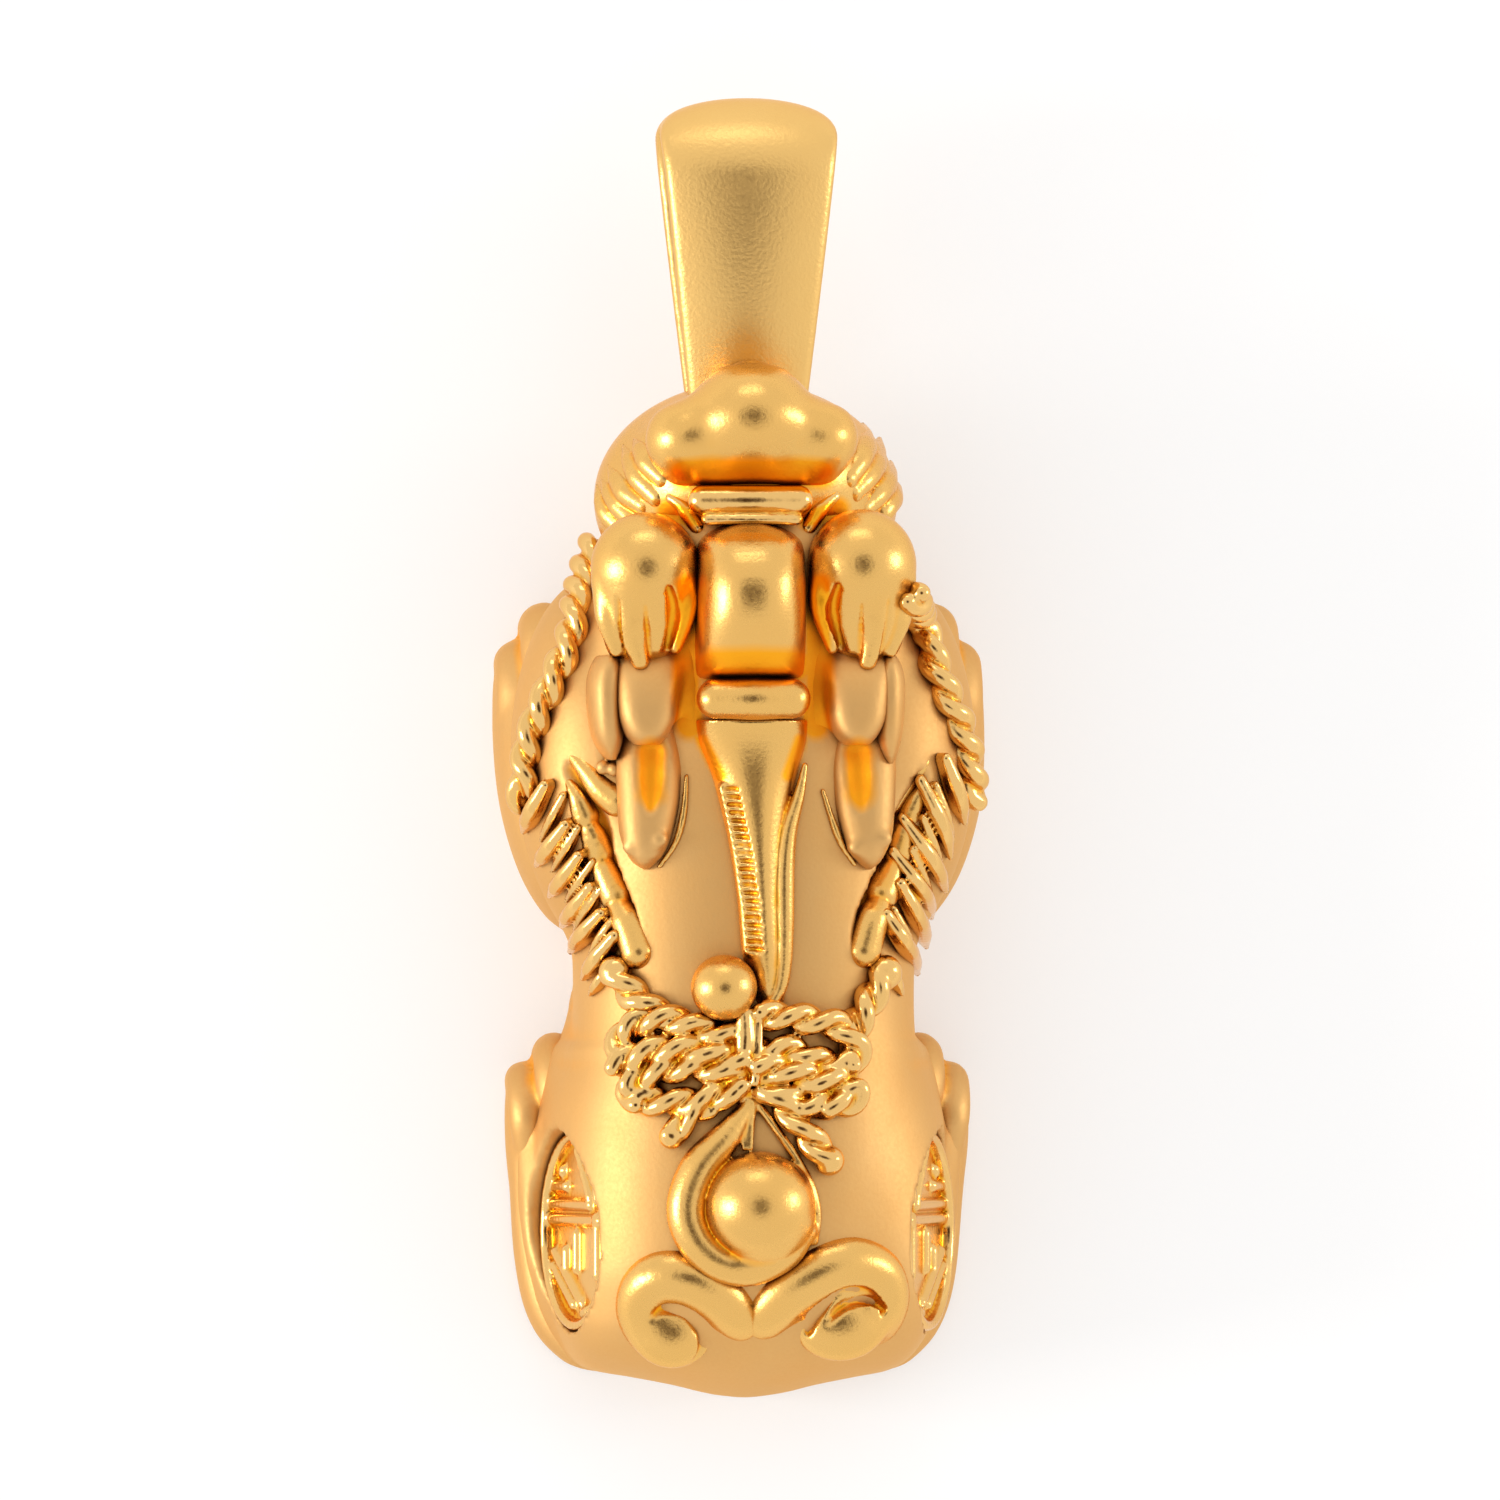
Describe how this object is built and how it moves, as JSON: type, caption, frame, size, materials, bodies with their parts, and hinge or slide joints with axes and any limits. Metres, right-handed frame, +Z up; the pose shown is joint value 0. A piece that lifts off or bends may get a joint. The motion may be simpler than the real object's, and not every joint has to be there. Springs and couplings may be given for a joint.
{
  "type": "pixiu pendant with a fixed bail",
  "caption": "Crouching pixiu pendant in satin gold, with twisted rope, wings, bow, curled tail and haunch coins, and a tapered bail soldered to its jaw.",
  "frame": {"origin": "middle of the flat belly, on the surface the beast lies on", "axes": "+Y from the rump to the head and bail, +Z up out of the back, +X to the beast's right-hand side seen from above"},
  "size_m": [0.0098, 0.026, 0.0083],
  "materials": {
    "satin_gold": "fine satin gold with brighter worn crests"
  },
  "bodies": {
    "root": {"pixiu_pendant": "satin_gold"}
  },
  "joints": []
}
